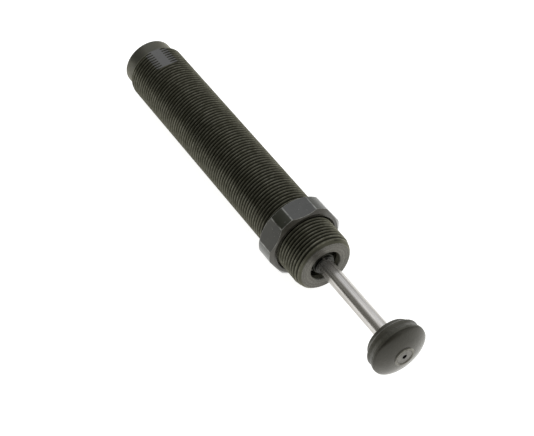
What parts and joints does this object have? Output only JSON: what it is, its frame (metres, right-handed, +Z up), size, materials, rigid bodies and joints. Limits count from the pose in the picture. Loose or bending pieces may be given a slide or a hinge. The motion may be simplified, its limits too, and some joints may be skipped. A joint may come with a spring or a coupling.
{
  "type": "industrial shock absorber",
  "caption": "Self-contained hydraulic shock absorber: threaded steel body with lock nut and wrench flats, sprung chromed rod with a domed nylon impact cap.",
  "frame": {"origin": "on the body axis, in the plane of the lock nut's rear clamping face", "axes": "+X along the axis from the body towards the impact cap, +Z up and square to one lock nut flat"},
  "size_m": [0.1883, 0.0314, 0.0294],
  "materials": {
    "body_steel": "dark nitrided, satin",
    "nut_steel": "black oxide, satin",
    "rod_chrome": "hard chrome, ground",
    "cap_nylon": "moulded glass-filled nylon, satin",
    "spring_steel": "bright drawn",
    "guide_steel": "turned, oiled",
    "machined_steel": "fine turned",
    "plug_steel": "black oxide, turned",
    "cast_iron": "ground",
    "bronze": "fine bored",
    "seal_rubber": "moulded, matte",
    "ptfe": "waxy",
    "foam": "closed-cell, matte"
  },
  "bodies": {
    "body": {"outer_body": "body_steel", "bearing_block": "machined_steel", "rod_bushing": "bronze", "bearing_o_ring": "seal_rubber", "seal_retainer": "machined_steel", "rod_wiper": "seal_rubber", "rod_seal": "seal_rubber", "backup_ring": "ptfe", "pressure_tube": "machined_steel", "accumulator_foam": "foam", "end_plug": "plug_steel", "plug_o_ring": "seal_rubber", "fill_ball": "machined_steel", "fill_screw": "plug_steel", "return_spring": "spring_steel"},
    "guide": {"spring_guide": "guide_steel"},
    "rod": {"piston_rod": "rod_chrome", "impact_cap": "cap_nylon", "cap_snap_ring": "spring_steel", "guide_snap_ring": "spring_steel", "check_plate": "spring_steel", "piston": "machined_steel", "piston_ring": "cast_iron", "piston_nut": "machined_steel"},
    "nut": {"lock_nut": "nut_steel"}
  },
  "joints": [
    {"name": "rod_stroke", "type": "slide", "parent": "body", "child": "guide", "axis": [-1, 0, 0], "range_m": [0, 0.04], "stiffness_N_per_m": 500, "springref_m": -0.02, "deforming": ["return_spring"]},
    {"name": "rod_spin", "type": "hinge", "parent": "guide", "child": "rod", "pos_m": [0, 0, 0], "axis": [1, 0, 0], "continuous": true},
    {"name": "lock_nut_travel", "type": "slide", "parent": "body", "child": "nut", "axis": [1, 0, 0], "range_m": [-0.09, 0.012]}
  ]
}
